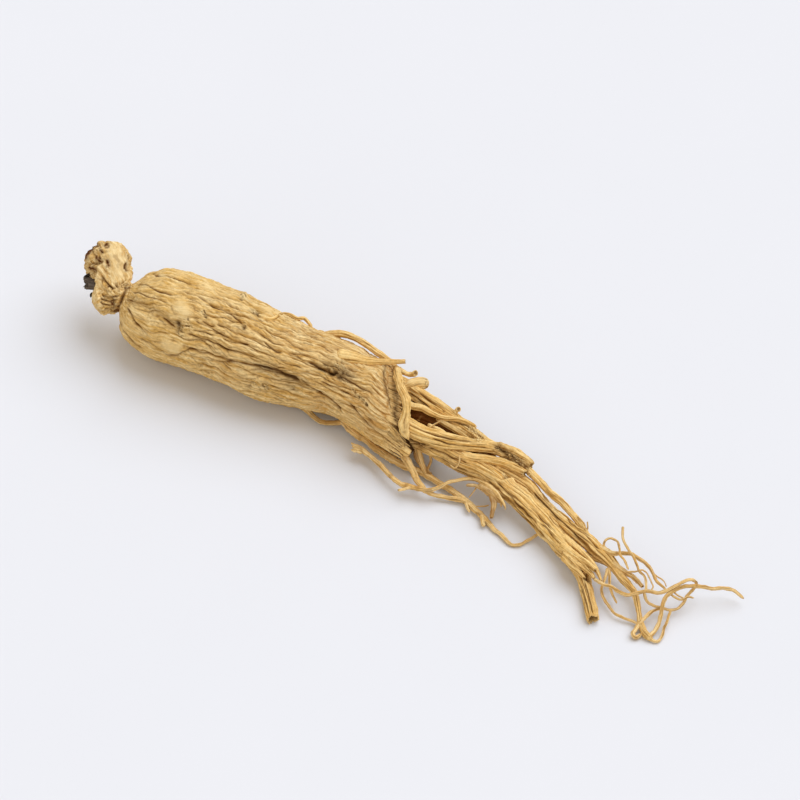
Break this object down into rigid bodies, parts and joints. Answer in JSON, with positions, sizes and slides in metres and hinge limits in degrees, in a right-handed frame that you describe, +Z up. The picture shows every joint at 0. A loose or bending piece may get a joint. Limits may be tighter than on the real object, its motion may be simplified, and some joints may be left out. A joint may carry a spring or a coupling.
{
  "type": "dried white ginseng root",
  "caption": "Whole dried white ginseng root lying on its side: wrinkled taproot, knobbed neck with a dead stem stub, forking legs and a tangle of thin rootlets at the tail.",
  "frame": {"origin": "centre of the bounding box on its underside, on the surface that the root lies on", "axes": "+X along the root from its neck to the tips of its rootlets, +Z up as the root lies, +Y to its far side as pictured"},
  "size_m": [0.1537, 0.0325, 0.0186],
  "materials": {
    "root_bark": "matt, wrinkled dry bark",
    "dead_stem": "matt, fibrous and weathered"
  },
  "bodies": {
    "root": {"ginseng_root": "root_bark", "stem_stub": "dead_stem"}
  },
  "joints": []
}
